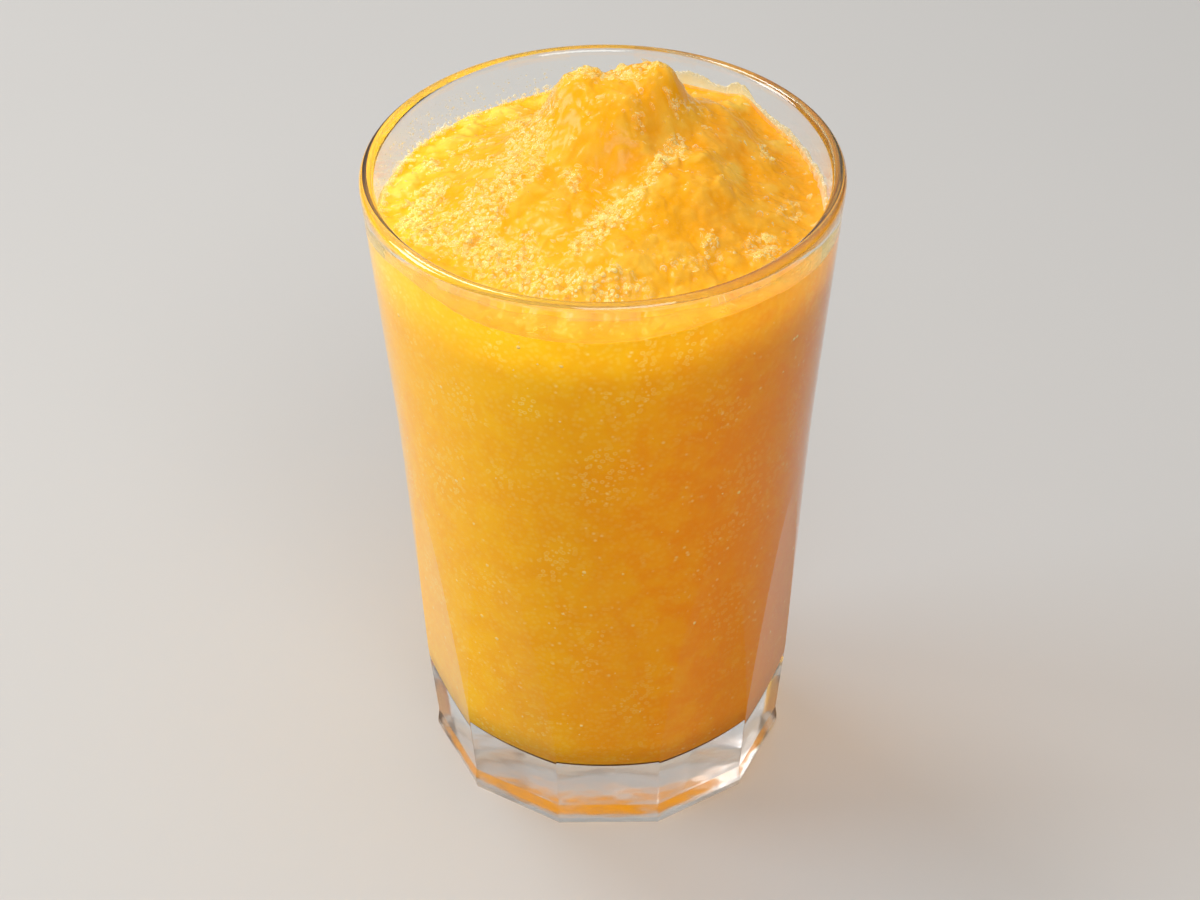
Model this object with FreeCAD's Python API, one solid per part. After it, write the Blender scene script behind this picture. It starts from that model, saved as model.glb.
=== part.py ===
import FreeCAD, Part
import math
import os

# A pressed tumbler with eleven flat panels, filled with a fruit slush that stands up in a mound
# above the lip. Millimetres, +Z up, origin at the middle of the foot, the glass standing on z = 0.
# One panel faces -Y.

Vector = FreeCAD.Vector
AXIS = Vector(0, 0, 1)

# ---- Tumbler: overall sizes ----
HEIGHT = 129.0              # foot to top of lip
LIP_RADIUS = 43.05          # outside of the cone where the lip round starts
KNEE_HEIGHT = 75.0          # where the cone above meets the slimmer body below
KNEE_RADIUS = 38.4          # outside radius there
KNEE_BLEND = 600.0          # radius of the soft bend between the two

# ---- Tumbler: the pressed panels and the foot band below them ----
PANELS = 11
PANEL_APOTHEM = 32.0        # axis to panel plane, carried down to z = 0
PANEL_TOP = 67.5            # where the middle of a panel runs out into the round body
BAND_TOP = 4.8              # foot of the panels
BAND_CREST_TOP = 2.6        # a narrow upright facet lies between these two heights
BAND_CREST_BOTTOM = 1.6
BAND_PROUD = 0.28           # that facet stands this far out from the foot of the panels
FOOT_CHAMFER = 0.4          # and the lowest edge lies this far back in from it

# ---- Tumbler: walls, floor and underneath ----
LIP_WALL = 2.6              # wall at the lip, which ends in a full round
KNEE_WALL = 2.6             # wall at the knee
PANEL_WALL = 2.8            # wall behind a panel at the height of the floor
FLOOR_HEIGHT = 11.0         # thickness of the clear base
FLOOR_FILLET = 11.0         # round between floor and wall inside
RING_WIDTH = 4.8            # standing ring, from the lowest edge in to the recess
RECESS_RISE = 1.6           # the hollow underneath, a shallow dome
RECESS_SHOULDER = 1.2       # and its height half way out
FILLET_SHARE = 0.9          # a fillet takes up at most this share of a side that it rounds

# ---- Slush ----
FILL_CLEARANCE = 0.05       # slush to glass, all over
LEVEL_DROP = 8.9            # lowest run of the contact line, below the top of the lip
SHORE_SWELLS = [            # where that line stands higher: bearing from +X, rise, spread in degrees
    (64.0, 3.4, 36.0),
    (49.0, 1.6, 6.0),
    (-55.0, 1.9, 24.0),
    (-145.0, 2.7, 18.0),
]
SHORE_WIDTH = 7.0           # how far the level at the wall reaches inwards
LOBES = [                   # rounded swellings piled up: middle, half width, length to the front,
                            # length to the back, rise, fullness (1 is a bell, more is flatter)
    ((3.0, 4.0), 29.0, 31.0, 26.0, 8.6, 1.3),       # body of the heap
    ((2.4, 15.0), 12.4, 15.0, 10.0, 10.0, 2.0),     # crest, towards the back
    ((-5.0, 16.2), 5.4, 6.0, 5.6, 2.2, 1.5),        # left knob of the crest
    ((9.4, 16.6), 5.0, 6.0, 5.2, 2.1, 1.6),         # right knob
    ((4.6, 18.0), 2.4, 3.0, 3.0, 0.9, 1.0),         # small knob between them
    ((15.5, -2.0), 8.5, 11.0, 7.5, 3.2, 1.1),       # hump at the right
    ((6.0, -13.0), 6.0, 8.0, 8.0, 1.8, 1.0),        # its foot
    ((-17.0, -3.0), 9.0, 9.0, 9.0, 2.2, 1.0),       # left shoulder
    ((-13.0, 12.0), 5.0, 7.0, 6.0, 2.2, 1.0),       # bank under the crest
    ((0.0, -27.0), 13.0, 6.0, 8.0, 2.6, 1.0),       # front lobe
    ((20.0, 21.0), 10.0, 15.0, 12.0, 4.8, 1.1),     # right shoulder, up to the wall
]
HOLLOWS = [                 # dips between the swellings: middle, half width, half length, depth
    ((10.0, 5.0), 5.5, 5.0, 2.8),
    ((2.0, -6.0), 5.5, 7.0, 1.8),
    ((24.5, 2.0), 4.5, 8.0, 1.8),
]
LUMP_HEIGHT = 0.6           # soft unevenness of the top
LUMP_LENGTH = 13.0
SURFACE_SPACING = 2.0       # grid of the points that the top surface passes through

# ---- Worked out from the sizes above ----
LIP_ROUND = LIP_WALL / 2.0
LIP_CENTRE_HEIGHT = HEIGHT - LIP_ROUND


def corner_radius(apothem):
    """Axis to corner of the regular polygon whose sides lie at an apothem."""
    return apothem / math.cos(math.pi / PANELS)


def between(height, lower, upper):
    """Radius at a height on the straight line through two (radius, height) points."""
    share = (height - lower[1]) / (upper[1] - lower[1])
    return lower[0] + share * (upper[0] - lower[0])


def arc(start, through, end):
    """An arc edge through three (radius, height) points of the XZ plane."""
    points = [Vector(r, 0, z) for r, z in (start, through, end)]
    return Part.Arc(*points).toShape()


def line(start, end):
    """A straight edge between two (radius, height) points of the XZ plane."""
    return Part.makeLine(Vector(start[0], 0, start[1]), Vector(end[0], 0, end[1]))


def revolved(edges):
    """The solid swept by a closed outline of edges turned once round the axis."""
    outline = Part.Wire(edges)
    return Part.Face(outline).revolve(Vector(0, 0, 0), AXIS, 360)


def fillet_points(before, corner, after, radius):
    """Start, middle and end of the arc that rounds a corner, limited by the sides it runs into."""
    point = Vector(corner[0], corner[1], 0)
    to_before = Vector(before[0], before[1], 0) - point
    to_after = Vector(after[0], after[1], 0) - point
    longest_reach = FILLET_SHARE * min(to_before.Length, to_after.Length)
    to_before.normalize()
    to_after.normalize()
    half_angle = to_before.getAngle(to_after) / 2.0
    radius = min(radius, longest_reach * math.tan(half_angle))
    reach = radius / math.tan(half_angle)
    bisector = (to_before + to_after).normalize()
    start = point + to_before * reach
    end = point + to_after * reach
    middle = point + bisector * (radius / math.sin(half_angle) - radius)
    return [(place.x, place.y) for place in (start, middle, end)]


def panel_apothem(height):
    """Axis to panel plane at a height. The panels lean out until they meet the round body."""
    foot = (PANEL_APOTHEM, 0.0)
    top = (between(PANEL_TOP, (band_corner_radius(), 0.0), (KNEE_RADIUS, KNEE_HEIGHT)), PANEL_TOP)
    return between(height, foot, top)


def band_apothem():
    """Axis to the upright facets of the foot band."""
    slope = (KNEE_RADIUS - PANEL_APOTHEM) / KNEE_HEIGHT
    return PANEL_APOTHEM + slope * BAND_TOP + BAND_PROUD


def band_corner_radius():
    """Corners of the foot band, which are also the round body's radius carried down to z = 0."""
    return corner_radius(band_apothem())


def round_body():
    """The glass before pressing: knee, cone and round lip, solid right through."""
    foot = (band_corner_radius(), 0.0)
    knee = (KNEE_RADIUS, KNEE_HEIGHT)
    lip = (LIP_RADIUS, LIP_CENTRE_HEIGHT)
    bend = fillet_points(foot, knee, lip, KNEE_BLEND)
    crown = (LIP_RADIUS - LIP_ROUND, HEIGHT)
    inside = (LIP_RADIUS - LIP_WALL, LIP_CENTRE_HEIGHT)
    centre_top = (0.0, LIP_CENTRE_HEIGHT)
    return revolved([
        line((0.0, 0.0), foot),
        line(foot, bend[0]),
        arc(*bend),
        line(bend[2], lip),
        arc(lip, crown, inside),
        line(inside, centre_top),
        line(centre_top, (0.0, 0.0)),
    ])


def panel_ring(apothem, height):
    """Corners of the regular polygon of one height, with a side facing -Y."""
    radius = corner_radius(apothem)
    step = 2.0 * math.pi / PANELS
    first = -math.pi / 2.0 - step / 2.0
    bearings = [first + step * i for i in range(PANELS)]
    return [Vector(radius * math.cos(b), radius * math.sin(b), height) for b in bearings]


def panel_mould():
    """The faceted form that the flat panels and the foot band are pressed against."""
    levels = [
        (band_apothem() - FOOT_CHAMFER, 0.0),
        (band_apothem(), BAND_CREST_BOTTOM),
        (band_apothem(), BAND_CREST_TOP),
        (panel_apothem(BAND_TOP), BAND_TOP),
        (panel_apothem(PANEL_TOP), PANEL_TOP),
        (LIP_RADIUS + LIP_ROUND, HEIGHT + LIP_ROUND),
    ]
    rings = [panel_ring(apothem, height) for apothem, height in levels]
    faces = [Part.Face(Part.makePolygon(ring + [ring[0]])) for ring in (rings[0], rings[-1])]
    for lower, upper in zip(rings, rings[1:]):
        for i in range(PANELS):
            j = (i + 1) % PANELS
            corners = [lower[i], lower[j], upper[j], upper[i], lower[i]]
            faces.append(Part.Face(Part.makePolygon(corners)))
    solid = Part.Solid(Part.Shell(faces))
    if solid.Volume < 0:
        solid.reverse()
    return solid


def cavity_radius(height):
    """Radius of the inside wall, which keeps the named walls at the floor, the knee and the lip."""
    floor = (panel_apothem(FLOOR_HEIGHT) - PANEL_WALL, FLOOR_HEIGHT)
    knee = (KNEE_RADIUS - KNEE_WALL, KNEE_HEIGHT)
    lip = (LIP_RADIUS - LIP_WALL, LIP_CENTRE_HEIGHT)
    if height < KNEE_HEIGHT:
        return between(height, floor, knee)
    return between(height, knee, lip)


def cavity(clearance, top):
    """The inside of the glass up to a height, drawn in by a clearance."""
    floor = FLOOR_HEIGHT + clearance
    corner = (cavity_radius(floor) - clearance, floor)
    knee = (cavity_radius(KNEE_HEIGHT) - clearance, KNEE_HEIGHT)
    mouth = (cavity_radius(top) - clearance, top)
    bend = fillet_points((0.0, floor), corner, knee, FLOOR_FILLET - clearance)
    return revolved([
        line((0.0, floor), bend[0]),
        arc(*bend),
        line(bend[2], knee),
        line(knee, mouth),
        line(mouth, (0.0, top)),
        line((0.0, top), (0.0, floor)),
    ])


def foot_recess():
    """The shallow dome pressed into the underside, inside the standing ring."""
    edge = band_apothem() - FOOT_CHAMFER - RING_WIDTH
    return revolved([
        line((0.0, 0.0), (edge, 0.0)),
        arc((edge, 0.0), (edge / 2.0, RECESS_SHOULDER), (0.0, RECESS_RISE)),
        line((0.0, RECESS_RISE), (0.0, 0.0)),
    ])


def tumbler():
    """The glass: a round body pressed flat by the mould, hollowed, with a ring foot."""
    body = round_body().common(panel_mould())
    body = body.cut(cavity(0.0, HEIGHT + LIP_ROUND))
    return body.cut(foot_recess())


def bell(offset, length):
    """A smooth hump that is 1 at its middle and dies away over a length."""
    return math.exp(-((offset / length) ** 2))


def shore_level(bearing):
    """Height of the contact line over its lowest run, at a bearing in radians."""
    level = 0.0
    for swell_bearing, rise, spread in SHORE_SWELLS:
        turn = (math.degrees(bearing) - swell_bearing + 180.0) % 360.0 - 180.0
        level += rise * bell(turn, spread)
    return level


def lobe(x, y, middle, half_width, front, back, rise, fullness):
    """One swelling, longer to one side than to the other."""
    length = back if y > middle[1] else front
    share = ((x - middle[0]) / half_width) ** 2 + ((y - middle[1]) / length) ** 2
    return rise * math.exp(-(share ** fullness))


def hollow(x, y, middle, half_width, half_length, depth):
    """One dip."""
    return depth * bell((x - middle[0]) / half_width, 1.0) * bell((y - middle[1]) / half_length, 1.0)


def heap(x, y):
    """The swellings and dips together."""
    return sum(lobe(x, y, *sizes) for sizes in LOBES) - sum(hollow(x, y, *sizes) for sizes in HOLLOWS)


def lumps(x, y):
    """Soft unevenness, as crossed waves that don't line up with each other."""
    k = 2.0 * math.pi / LUMP_LENGTH
    one = math.sin(k * x + 1.3 * math.sin(k * y * 0.6))
    two = math.sin(k * (0.35 * x + 0.94 * y) + 2.1)
    return LUMP_HEIGHT * one * two


def surface_height(x, y):
    """Height of the slush's top."""
    radius = math.hypot(x, y)
    wall = cavity_radius(HEIGHT - LEVEL_DROP)
    shore = shore_level(math.atan2(y, x)) * bell(max(0.0, wall - radius), SHORE_WIDTH)
    margin = 1.0 - bell(max(0.0, wall - radius), SHORE_WIDTH)
    return HEIGHT - LEVEL_DROP + shore + margin * (heap(x, y) + lumps(x, y))


def under_surface():
    """Everything below the slush's top, as a block wider than the glass."""
    reach = LIP_RADIUS + SURFACE_SPACING
    count = int(math.ceil(2.0 * reach / SURFACE_SPACING)) + 1
    ticks = [-reach + 2.0 * reach * i / (count - 1) for i in range(count)]
    grid = [[Vector(x, y, surface_height(x, y)) for y in ticks] for x in ticks]
    top = Part.BSplineSurface()
    top.interpolate(grid)
    return top.toShape().extrude(Vector(0, 0, -2.0 * HEIGHT))


def slush():
    """The fill: the cavity's own shape, cut off by the uneven top."""
    column_top = HEIGHT + sum(sizes[4] for sizes in LOBES)
    return cavity(FILL_CLEARANCE, column_top).common(under_surface())


def single_solid(shape):
    """The one solid of a shape, with seams between like faces removed."""
    return shape.removeSplitter().Solids[0]


os.makedirs("parts", exist_ok=True)
single_solid(tumbler()).exportStep("parts/tumbler.step")
single_solid(slush()).exportStep("parts/slush.step")
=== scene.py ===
import math
import random
import bmesh
import bpy
from mathutils import Euler, Matrix, Vector, noise


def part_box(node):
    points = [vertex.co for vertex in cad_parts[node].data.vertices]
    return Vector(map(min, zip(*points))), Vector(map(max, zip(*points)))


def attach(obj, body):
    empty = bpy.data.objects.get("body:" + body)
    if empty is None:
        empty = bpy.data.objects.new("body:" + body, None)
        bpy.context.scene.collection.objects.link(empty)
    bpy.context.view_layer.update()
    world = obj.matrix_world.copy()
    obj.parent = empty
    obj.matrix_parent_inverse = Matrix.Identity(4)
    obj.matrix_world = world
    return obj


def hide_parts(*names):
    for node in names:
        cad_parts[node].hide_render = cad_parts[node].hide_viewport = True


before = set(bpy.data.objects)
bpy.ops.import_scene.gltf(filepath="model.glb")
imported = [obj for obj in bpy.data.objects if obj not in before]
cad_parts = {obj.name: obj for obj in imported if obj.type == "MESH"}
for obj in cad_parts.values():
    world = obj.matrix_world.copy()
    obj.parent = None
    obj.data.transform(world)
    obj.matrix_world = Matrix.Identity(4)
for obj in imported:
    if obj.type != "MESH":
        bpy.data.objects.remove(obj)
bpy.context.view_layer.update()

MM = 0.001

# ==== Studio ====
# A pale matt floor in a soft white studio: a softbox at the left, one like a window at the back
# left, and one in front above. A dim surround gives the clear glass something dark to show.

CAMERA_PLACE = Vector((0.0, -0.47477, 0.43368))
CAMERA_AIM = Vector((0.0, 0.0, 0.06588))
CAMERA_YAW = -0.0016227
CAMERA_ROLL = -0.0098014
CAMERA_LENS = 95.66
CAMERA_SENSOR = 36.0
FLOOR_HALF = 3.0
FLOOR_GAP = 0.1 * MM
FLOOR_DARK = (0.58, 0.565, 0.545)
FLOOR_LIGHT = (0.61, 0.595, 0.575)
SURROUND_LOW = (0.20, 0.20, 0.20)
SURROUND_HIGH = (1.0, 1.0, 1.0)
SURROUND_STRENGTH = 0.58
FLOOR_ROUGHNESS = 0.55
FLOOR_CLOUDS = 6.0
PLAIN_GLOSS = 0.5


def new_material(name):
    """A node material, and its tree with nothing in it."""
    material = bpy.data.materials.new(name)
    material.use_nodes = True
    material.node_tree.nodes.clear()
    return material, material.node_tree


def add_node(tree, kind, **settings):
    """A node of a kind, with its plain settings."""
    node = tree.nodes.new(kind)
    for name, value in settings.items():
        setattr(node, name, value)
    return node


def finished(material, shader):
    """The material, with a shader node as its surface."""
    output = add_node(material.node_tree, "ShaderNodeOutputMaterial")
    material.node_tree.links.new(shader.outputs[0], output.inputs["Surface"])
    return material


def feed(tree, socket, value):
    """Feeds a socket from another one, or sets it to a plain number or colour."""
    if isinstance(value, bpy.types.NodeSocket):
        tree.links.new(value, socket)
    elif isinstance(value, tuple):
        socket.default_value = (*value, 1.0)
    else:
        socket.default_value = value


def object_place(tree):
    """Places on the piece itself, in metres."""
    return add_node(tree, "ShaderNodeTexCoord").outputs["Object"]


def add_noise(tree, vector, scale, detail=3.0):
    """A noise texture, and its value socket."""
    node = add_node(tree, "ShaderNodeTexNoise")
    node.inputs["Scale"].default_value = scale
    node.inputs["Detail"].default_value = detail
    tree.links.new(vector, node.inputs["Vector"])
    return node.outputs["Fac"]


def remap(tree, value, low, high, to_low=0.0, to_high=1.0, smooth=True):
    """A value stretched from one range to another, held at the ends."""
    node = add_node(tree, "ShaderNodeMapRange")
    node.interpolation_type = "SMOOTHSTEP" if smooth else "LINEAR"
    tree.links.new(value, node.inputs["Value"])
    for name, number in (("From Min", low), ("From Max", high), ("To Min", to_low), ("To Max", to_high)):
        node.inputs[name].default_value = number
    return node.outputs["Result"]


def blend_colour(tree, share, first, second):
    """A mix of two colours, each a socket or a plain colour, by a socket."""
    node = add_node(tree, "ShaderNodeMix", data_type="RGBA", clamp_factor=True)
    feed(tree, node.inputs[0], share)
    feed(tree, node.inputs[6], first)
    feed(tree, node.inputs[7], second)
    return node.outputs[2]


def surface_of(tree, colour, roughness, gloss=PLAIN_GLOSS, normal=None):
    """A surface from a colour and a roughness, each a socket or plain, and its own shader node."""
    surface = add_node(tree, "ShaderNodeBsdfPrincipled")
    feed(tree, surface.inputs["Base Color"], colour)
    feed(tree, surface.inputs["Roughness"], roughness)
    surface.inputs["Specular IOR Level"].default_value = gloss
    if normal is not None:
        tree.links.new(normal, surface.inputs["Normal"])
    return surface


def mesh_object(name, vertices, faces, smooth=True):
    """An object from points in metres and faces."""
    mesh = bpy.data.meshes.new(name)
    mesh.from_pydata([tuple(v) for v in vertices], [], [tuple(f) for f in faces])
    mesh.validate()
    mesh.polygons.foreach_set("use_smooth", [smooth] * len(mesh.polygons))
    mesh.update()
    piece = bpy.data.objects.new(name, mesh)
    bpy.context.collection.objects.link(piece)
    return piece


def floor_material():
    """Matt paper with faint clouds in it."""
    material, tree = new_material("studio_floor")
    clouds = add_noise(tree, object_place(tree), FLOOR_CLOUDS)
    shade = blend_colour(tree, clouds, FLOOR_DARK, FLOOR_LIGHT)
    return finished(material, surface_of(tree, shade, FLOOR_ROUGHNESS))


corners = ((-1, -1), (1, -1), (1, 1), (-1, 1))
floor_corners = [(x * FLOOR_HALF, y * FLOOR_HALF, -FLOOR_GAP) for x, y in corners]
floor = mesh_object("studio_floor", floor_corners, [(0, 1, 2, 3)])
floor.data.materials.append(floor_material())


def softbox(name, place, aim, width, height, power, colour):
    """A rectangular area light turned towards a point."""
    data = bpy.data.lights.new(name, "AREA")
    data.shape = "RECTANGLE"
    data.size, data.size_y = width, height
    data.energy = power
    data.color = colour
    lamp = bpy.data.objects.new(name, data)
    lamp.location = place
    lamp.rotation_euler = (Vector(aim) - Vector(place)).to_track_quat("-Z", "Y").to_euler()
    bpy.context.collection.objects.link(lamp)


softbox("key_left", (-0.95, 0.10, 0.60), (0, 0, 0.08), 0.45, 0.45, 4.8, (1.0, 0.98, 0.95))
softbox("window_back_left", (-0.40, 0.42, 1.00), (0, 0, 0.09), 0.30, 0.40, 3.0, (0.98, 0.99, 1.0))
softbox("front_above", (0.15, -0.75, 0.95), (0, 0, 0.08), 0.70, 0.50, 4.2, (1.0, 0.99, 0.97))

world = bpy.data.worlds.new("studio")
world.use_nodes = True
bpy.context.scene.world = world
sky_tree = world.node_tree
sky = sky_tree.nodes["Background"]
sky.inputs["Strength"].default_value = SURROUND_STRENGTH
sky_place = add_node(sky_tree, "ShaderNodeTexCoord")
sky_split = add_node(sky_tree, "ShaderNodeSeparateXYZ")
sky_tree.links.new(sky_place.outputs["Generated"], sky_split.inputs[0])
sky_height = remap(sky_tree, sky_split.outputs["Z"], -0.05, 0.75)
sky_shade = blend_colour(sky_tree, sky_height, SURROUND_LOW, SURROUND_HIGH)
sky_tree.links.new(sky_shade, sky.inputs["Color"])

forward = (CAMERA_AIM - CAMERA_PLACE).normalized()
right = forward.cross(Vector((0, 0, 1))).normalized()
forward = (forward + CAMERA_YAW * right).normalized()
right = forward.cross(Vector((0, 0, 1))).normalized()
up = right.cross(forward)
tilted_right = right * math.cos(CAMERA_ROLL) + up * math.sin(CAMERA_ROLL)
tilted_up = up * math.cos(CAMERA_ROLL) - right * math.sin(CAMERA_ROLL)
camera_data = bpy.data.cameras.new("camera")
camera_data.lens = CAMERA_LENS
camera_data.sensor_width = CAMERA_SENSOR
camera = bpy.data.objects.new("camera", camera_data)
turned = Matrix((tilted_right, tilted_up, -forward)).transposed().to_4x4()
camera.matrix_world = Matrix.Translation(CAMERA_PLACE) @ turned
bpy.context.collection.objects.link(camera)
bpy.context.scene.camera = camera
bpy.context.scene.view_settings.view_transform = "Standard"
light_paths = bpy.context.scene.cycles
light_paths.max_bounces = 12
light_paths.diffuse_bounces = 3
light_paths.glossy_bounces = 4
light_paths.transmission_bounces = 12
light_paths.transparent_max_bounces = 12

# ==== Tumbler ====
# A pressed soda-lime glass with eleven flat panels that run out in arches below a soft knee, a
# round fire-polished lip, a band of small facets at the foot and a thick clear base.

tumbler_low, tumbler_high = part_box("tumbler")
HEIGHT = tumbler_high[2]
LIP_RADIUS = (tumbler_high[0] - tumbler_low[0]) / 2.0
LIP_WALL = 2.6 * MM
KNEE_HEIGHT = 75.0 * MM
KNEE_RADIUS = 38.4 * MM
KNEE_WALL = 2.6 * MM
KNEE_BLEND = 600.0 * MM
PANELS = 11
PANEL_APOTHEM = 32.0 * MM
PANEL_TOP = 67.5 * MM
PANEL_WALL = 2.8 * MM
BAND_TOP = 4.8 * MM
BAND_CREST_TOP = 2.6 * MM
BAND_CREST_BOTTOM = 1.6 * MM
BAND_PROUD = 0.28 * MM
FOOT_CHAMFER = 0.4 * MM
FLOOR_HEIGHT = 11.0 * MM
FLOOR_FILLET = 11.0 * MM
RING_WIDTH = 4.8 * MM
RECESS_RISE = 1.6 * MM
EDGE_ROUND = 0.32 * MM
EDGE_STEPS = 3
COLUMNS_PER_PANEL = 24
PANEL_ROWS = 14
BODY_ROWS = 40
LIP_ROWS = 12
INSIDE_ROWS = 30
BEND_ROWS = 14
BODY_SLOT, UNDERSIDE_SLOT, LIP_SLOT = 0, 1, 2
LIP_BAND = 0.9 * MM
GLASS_TINT = (0.985, 0.995, 0.985)
GLASS_IOR = 1.5
WAVE_DEPTH = 0.4 * MM
LIP_ROUND = LIP_WALL / 2.0
LIP_CENTRE = HEIGHT - LIP_ROUND
HALF_PANEL = math.pi / PANELS
BAND_APOTHEM = PANEL_APOTHEM + (KNEE_RADIUS - PANEL_APOTHEM) / KNEE_HEIGHT * BAND_TOP + BAND_PROUD
ROUND_FOOT = BAND_APOTHEM / math.cos(HALF_PANEL)


def around(radius, bearing, z):
    """A point at a distance from the axis, at a bearing in radians and a height."""
    return radius * math.cos(bearing), radius * math.sin(bearing), z


def between(height, lower, upper):
    """Radius at a height on the straight line through two (radius, height) points."""
    share = (height - lower[1]) / (upper[1] - lower[1])
    return lower[0] + share * (upper[0] - lower[0])


def round_radius(z):
    """Outside of the round body, with its soft bend at the knee."""
    below = (KNEE_RADIUS - ROUND_FOOT) / KNEE_HEIGHT
    above = (LIP_RADIUS - KNEE_RADIUS) / (LIP_CENTRE - KNEE_HEIGHT)
    reach = KNEE_BLEND * (math.atan(above) - math.atan(below)) / 2.0
    step = z - KNEE_HEIGHT
    if step <= -reach:
        return KNEE_RADIUS + below * step
    if step >= reach:
        return KNEE_RADIUS + above * step
    return KNEE_RADIUS + below * step + (above - below) * (step + reach) ** 2 / (4.0 * reach)


def panel_apothem(z):
    """Axis to panel plane at a height."""
    top = (between(PANEL_TOP, (ROUND_FOOT, 0.0), (KNEE_RADIUS, KNEE_HEIGHT)), PANEL_TOP)
    return between(z, (PANEL_APOTHEM, 0.0), top)


def cavity_radius(z):
    """Radius of the inside wall."""
    knee = (KNEE_RADIUS - KNEE_WALL, KNEE_HEIGHT)
    if z < KNEE_HEIGHT:
        return between(z, (panel_apothem(FLOOR_HEIGHT) - PANEL_WALL, FLOOR_HEIGHT), knee)
    return between(z, knee, (LIP_RADIUS - LIP_WALL, LIP_CENTRE))


def arch_height(turn):
    """Where a panel runs out into the round body, at a turn from the panel's middle."""
    low, high = BAND_TOP, KNEE_HEIGHT
    for _ in range(40):
        middle = (low + high) / 2.0
        if panel_apothem(middle) / math.cos(turn) < round_radius(middle):
            low = middle
        else:
            high = middle
    return low


def floor_bend(into):
    """(radius, height) points of the round between floor and wall inside, from the floor up."""
    floor = FLOOR_HEIGHT - into
    slope = math.atan2(cavity_radius(KNEE_HEIGHT) - cavity_radius(floor), KNEE_HEIGHT - floor)
    radius = FLOOR_FILLET + into
    wall = cavity_radius(floor) + into
    reach = radius * math.tan((math.pi / 2.0 - slope) / 2.0)
    centre = (wall - reach, floor + radius)
    turns = [(math.pi / 2.0 - slope) * i / BEND_ROWS - math.pi / 2.0 for i in range(BEND_ROWS + 1)]
    return [(centre[0] + radius * math.cos(t), centre[1] + radius * math.sin(t)) for t in turns]


def tumbler_column(turn):
    """Outline of the glass at a turn from a panel's middle, from the middle underneath, out, up,
    over the lip and down inside to the middle of the floor, with the names of its sharp places."""
    flat = 1.0 / math.cos(turn)
    ring_inner = BAND_APOTHEM - FOOT_CHAMFER - RING_WIDTH
    points, sharp = [], {}
    for share in (0.0, 0.2, 0.4, 0.6, 0.8, 1.0):
        points.append((ring_inner * share, RECESS_RISE * (1.0 - share * share)))
    for name, apothem, z in (("standing", BAND_APOTHEM - FOOT_CHAMFER, 0.0),
                             ("crest_low", BAND_APOTHEM, BAND_CREST_BOTTOM),
                             ("crest_high", BAND_APOTHEM, BAND_CREST_TOP),
                             ("panel_foot", panel_apothem(BAND_TOP), BAND_TOP)):
        sharp[name] = len(points)
        points.append((apothem * flat, z))
    arch = arch_height(turn)
    for i in range(1, PANEL_ROWS + 1):
        z = BAND_TOP + (arch - BAND_TOP) * i / PANEL_ROWS
        points.append((panel_apothem(z) * flat, z))
    sharp["arch"] = len(points) - 1
    for i in range(1, BODY_ROWS + 1):
        z = arch + (LIP_CENTRE - arch) * i / BODY_ROWS
        points.append((round_radius(z), z))
    for i in range(1, LIP_ROWS):
        angle = math.pi * i / LIP_ROWS
        radius = LIP_RADIUS - LIP_ROUND + LIP_ROUND * math.cos(angle)
        points.append((radius, LIP_CENTRE + LIP_ROUND * math.sin(angle)))
    bend = floor_bend(0.0)
    bottom = bend[-1][1]
    for i in range(INSIDE_ROWS + 1):
        z = LIP_CENTRE + (bottom - LIP_CENTRE) * i / INSIDE_ROWS
        points.append((cavity_radius(z), z))
    points += reversed(bend[:-1])
    for share in (0.75, 0.5, 0.25, 0.0):
        points.append((bend[0][0] * share, FLOOR_HEIGHT))
    return points, sharp


def tumbler_mesh():
    """The glass, turned column by column, with its sharp edges melted round."""
    count = PANELS * COLUMNS_PER_PANEL
    vertices, faces = [], []
    bevel_edges = set()
    for c in range(count):
        turn = -HALF_PANEL + 2.0 * HALF_PANEL * (c % COLUMNS_PER_PANEL) / COLUMNS_PER_PANEL
        bearing = -math.pi / 2.0 - HALF_PANEL + 2.0 * math.pi * c / count
        points, sharp = tumbler_column(turn)
        vertices += [around(radius, bearing, z) for radius, z in points[1:-1]]
    inner = len(points) - 2
    under, inside = len(vertices), len(vertices) + 1
    vertices += [(0.0, 0.0, RECESS_RISE), (0.0, 0.0, FLOOR_HEIGHT)]
    for c in range(count):
        d = (c + 1) % count
        for r in range(inner - 1):
            faces.append((c * inner + r, d * inner + r, d * inner + r + 1, c * inner + r + 1))
        faces.append((under, d * inner, c * inner))
        faces.append((inside, c * inner + inner - 1, d * inner + inner - 1))
        for row in (place - 1 for place in sharp.values()):
            bevel_edges.add(tuple(sorted((c * inner + row, d * inner + row))))
        if c % COLUMNS_PER_PANEL == 0:
            for row in range(sharp["standing"] - 1, sharp["arch"] - 1):
                bevel_edges.add((c * inner + row, c * inner + row + 1))
    piece = mesh_object("tumbler_glass", vertices, faces)
    slots = []
    for face in piece.data.polygons:
        if face.center.z < RECESS_RISE + 0.1 * MM and face.normal.z < -0.9:
            slots.append(UNDERSIDE_SLOT)
        else:
            slots.append(LIP_SLOT if face.center.z > LIP_CENTRE - LIP_BAND else BODY_SLOT)
    piece.data.polygons.foreach_set("material_index", slots)
    weights = piece.data.attributes.new("bevel_weight_edge", "FLOAT", "EDGE")
    sharpness = [float(tuple(sorted(edge.vertices)) in bevel_edges) for edge in piece.data.edges]
    weights.data.foreach_set("value", sharpness)
    rounding = piece.modifiers.new("fire_polish", "BEVEL")
    rounding.limit_method = "WEIGHT"
    rounding.width = EDGE_ROUND
    rounding.segments = EDGE_STEPS
    rounding.harden_normals = True
    return piece


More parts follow.
